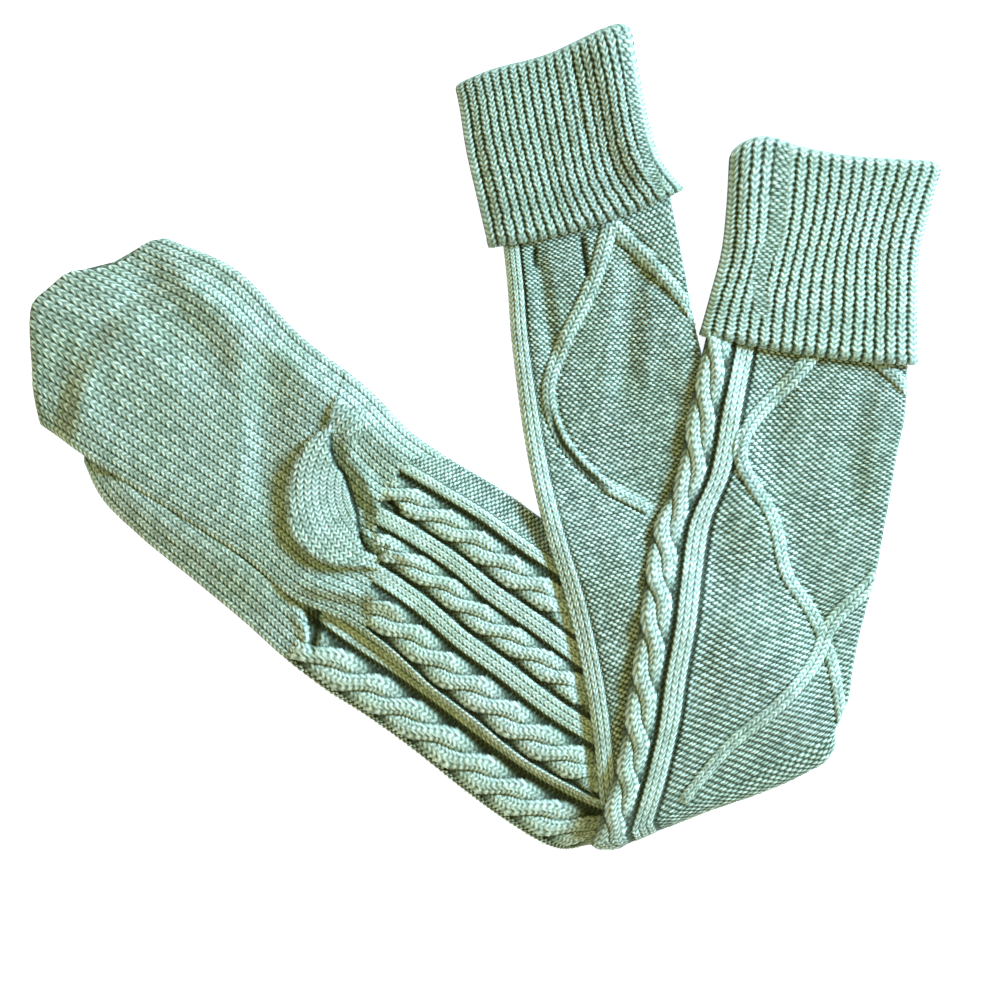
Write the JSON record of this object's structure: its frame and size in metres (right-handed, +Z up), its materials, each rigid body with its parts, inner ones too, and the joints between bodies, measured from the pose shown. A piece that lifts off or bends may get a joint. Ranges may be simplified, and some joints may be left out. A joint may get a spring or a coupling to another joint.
{
  "type": "pair of boot socks",
  "caption": "Pair of over-knee cable-knit boot socks with turned-down ribbed cuffs, laid flat one on the other and folded over once.",
  "frame": {"origin": "middle of the bounding box of the folded pair, on the surface that it lies on", "axes": "+Z up from the surface, +Y up the picture towards the cuffs, +X to the right"},
  "size_m": [0.5262, 0.4836, 0.0249],
  "materials": {
    "sage_yarn": "matt knitted yarn with a soft nap"
  },
  "bodies": {
    "root": {"sock_a_foot": "sage_yarn", "sock_a_lower_leg": "sage_yarn", "sock_a_upper_leg": "sage_yarn", "sock_a_cuff": "sage_yarn", "sock_b_foot": "sage_yarn", "sock_b_lower_leg": "sage_yarn", "sock_b_upper_leg": "sage_yarn", "sock_b_cuff": "sage_yarn"}
  },
  "joints": []
}
